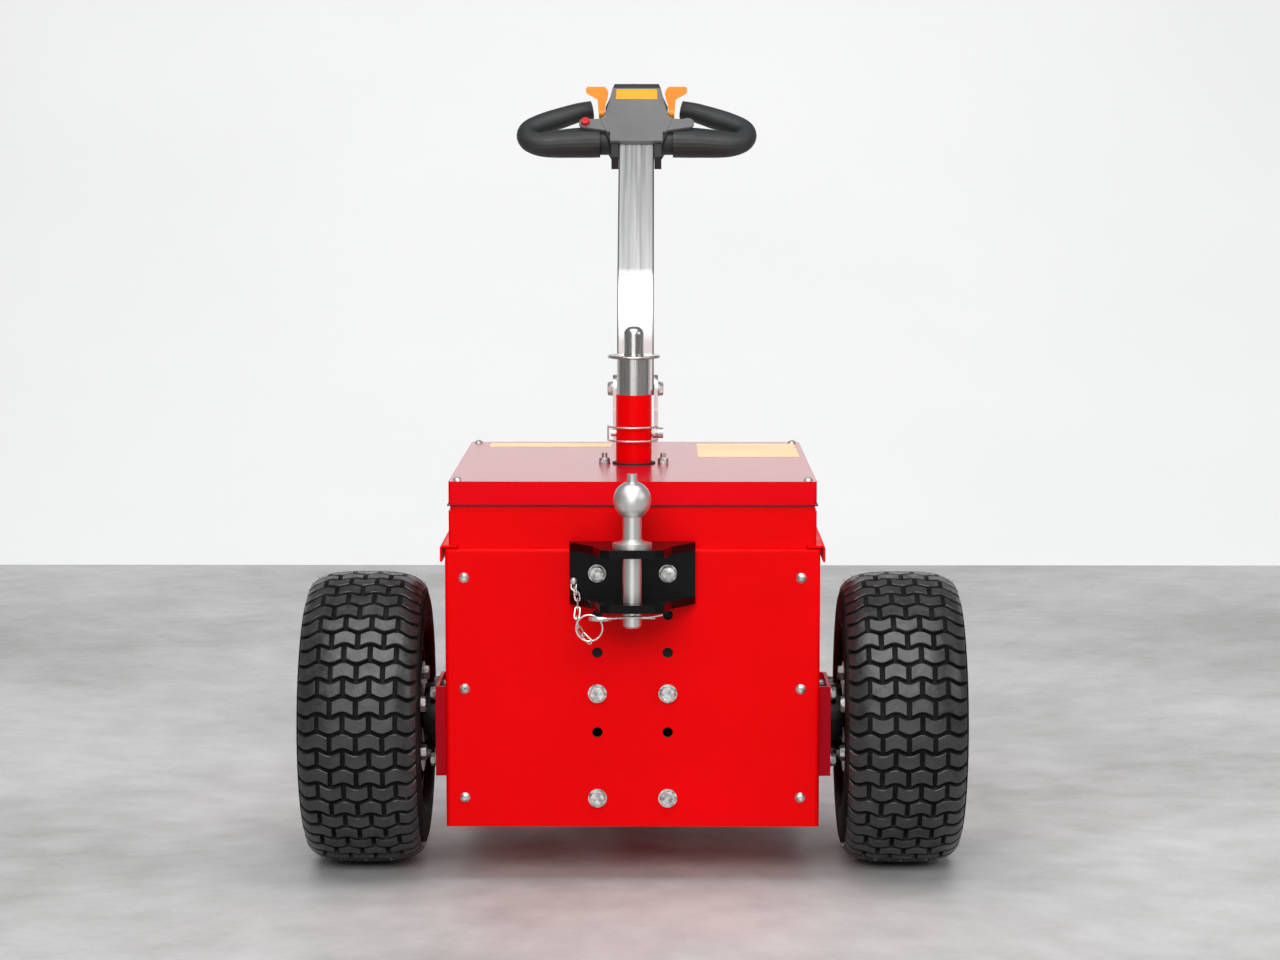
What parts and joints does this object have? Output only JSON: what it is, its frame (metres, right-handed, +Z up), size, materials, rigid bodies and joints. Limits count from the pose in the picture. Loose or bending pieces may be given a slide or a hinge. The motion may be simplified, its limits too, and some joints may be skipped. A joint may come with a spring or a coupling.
{
  "type": "electric tug",
  "caption": "Pedestrian electric tug with a red sheet-metal body, two turf-tyred drive wheels, a rear castor, a tow ball hitch, a coupling post and a tilting tiller with loop handles.",
  "frame": {"origin": "on the ground, under the middle of the whole machine's box", "axes": "+X to the right seen from the hitch end, +Y towards the tiller and the operator, +Z up"},
  "size_m": [0.898, 1.0062, 1.0798],
  "materials": {
    "red_paint": "gloss powder coat",
    "black_coat": "satin powder coat",
    "zinc": "zinc plated",
    "stainless": "fine brushed stainless",
    "dark_steel": "mill finish",
    "tyre_rubber": "matt rubber",
    "dark_plastic": "fine textured",
    "grey_plastic": "satin",
    "orange_plastic": "satin",
    "red_plastic": "gloss",
    "yellow_plastic": "gloss",
    "battery_case": "moulded",
    "black_case": "satin",
    "castor_tread": "matt"
  },
  "bodies": {
    "chassis": {"chassis_tub": "red_paint", "front_plate": "red_paint", "front_plate_screws": "zinc", "backing_plate": "dark_steel", "front_plate_bolts": "zinc", "upper_box": "red_paint", "lid": "red_paint", "lid_screws": "zinc", "post_tube": "red_paint", "post_nuts": "zinc", "coupling_pin": "stainless", "lock_pin": "zinc", "hitch_bracket": "black_coat", "hitch_fasteners": "zinc", "tow_ball_pin": "stainless", "clip_chain": "zinc", "side_plate_left": "red_paint", "side_plate_right": "red_paint", "side_plate_bolts": "zinc", "gear_motor_left": "black_coat", "gear_motor_right": "black_coat", "batteries": "battery_case", "battery_tray": "dark_steel", "motor_controller": "black_case", "tiller_clevis": "stainless", "rear_bolts": "zinc", "tiller_pivot_bolt": "zinc", "castor_bracket": "red_paint", "castor_plate": "zinc", "emergency_stop_base": "yellow_plastic", "key_switch": "zinc", "battery_gauge": "dark_plastic", "charge_socket": "dark_plastic"},
    "lock_bail": {"lock_pin_bail": "zinc"},
    "spring_clip": {"r_clip": "zinc", "clip_ring": "zinc"},
    "wheel_left": {"wheel_hub_left": "black_coat", "wheel_nuts_left": "zinc", "rim_left": "black_coat", "tyre_left": "tyre_rubber"},
    "wheel_right": {"wheel_hub_right": "black_coat", "wheel_nuts_right": "zinc", "rim_right": "black_coat", "tyre_right": "tyre_rubber"},
    "tiller": {"tiller_arm": "stainless", "head_base": "dark_plastic", "head_cover": "grey_plastic", "head_insert": "orange_plastic", "handle_loop_left": "dark_plastic", "handle_loop_right": "dark_plastic"},
    "thumb_levers": {"thumb_lever_left": "orange_plastic", "thumb_lever_right": "orange_plastic", "lever_shaft": "zinc"},
    "horn": {"horn_button": "red_plastic"},
    "belly": {"belly_button": "red_plastic"},
    "castor": {"castor_fork": "zinc", "castor_axle": "zinc"},
    "castor_wheel": {"castor_wheel": "castor_tread"},
    "emergency_stop": {"emergency_stop_button": "red_plastic"},
    "ignition_key": {"key": "stainless"}
  },
  "joints": [
    {"name": "wheel_left_spin", "type": "hinge", "parent": "chassis", "child": "wheel_left", "pos_m": [-0.366, -0.26114, 0.2005], "axis": [1, 0, 0], "continuous": true},
    {"name": "wheel_right_spin", "type": "hinge", "parent": "chassis", "child": "wheel_right", "pos_m": [0.366, -0.26114, 0.2005], "axis": [1, 0, 0], "continuous": true},
    {"name": "castor_swivel", "type": "hinge", "parent": "chassis", "child": "castor", "pos_m": [0, 0.27786, 0.184], "axis": [0, 0, 1], "continuous": true},
    {"name": "castor_spin", "type": "hinge", "parent": "castor", "child": "castor_wheel", "pos_m": [0, 0.31986, 0.075], "axis": [1, 0, 0], "continuous": true},
    {"name": "tiller_tilt", "type": "hinge", "parent": "chassis", "child": "tiller", "pos_m": [0, 0.17186, 0.62], "axis": [-1, 0, 0], "range_deg": [0, 55]},
    {"name": "thumb_lever_turn", "type": "hinge", "parent": "tiller", "child": "thumb_levers", "pos_m": [0, 0.43893, 1.03292], "axis": [1, 0, 0], "range_deg": [-30, 30], "stiffness_Nm_per_rad": 0.6},
    {"name": "horn_press", "type": "slide", "parent": "tiller", "child": "horn", "axis": [0, 0.7193, -0.6947], "range_m": [0, 0.0025], "stiffness_N_per_m": 1200},
    {"name": "belly_press", "type": "slide", "parent": "tiller", "child": "belly", "axis": [0, -0.6947, -0.7193], "range_m": [0, 0.005], "stiffness_N_per_m": 1500},
    {"name": "bail_swing", "type": "hinge", "parent": "chassis", "child": "lock_bail", "pos_m": [0.033, -0.16514, 0.585], "axis": [0, 0, 1], "range_deg": [0, 110]},
    {"name": "clip_pull", "type": "slide", "parent": "chassis", "child": "spring_clip", "axis": [-1, 0, 0], "range_m": [0, 0.046], "deforming": ["clip_chain"]},
    {"name": "emergency_stop_press", "type": "slide", "parent": "chassis", "child": "emergency_stop", "axis": [0, -1, 0], "range_m": [0, 0.0045], "stiffness_N_per_m": 1200},
    {"name": "key_turn", "type": "hinge", "parent": "chassis", "child": "ignition_key", "pos_m": [0.11, 0.15586, 0.479], "axis": [0, 1, 0], "range_deg": [0, 90]}
  ]
}
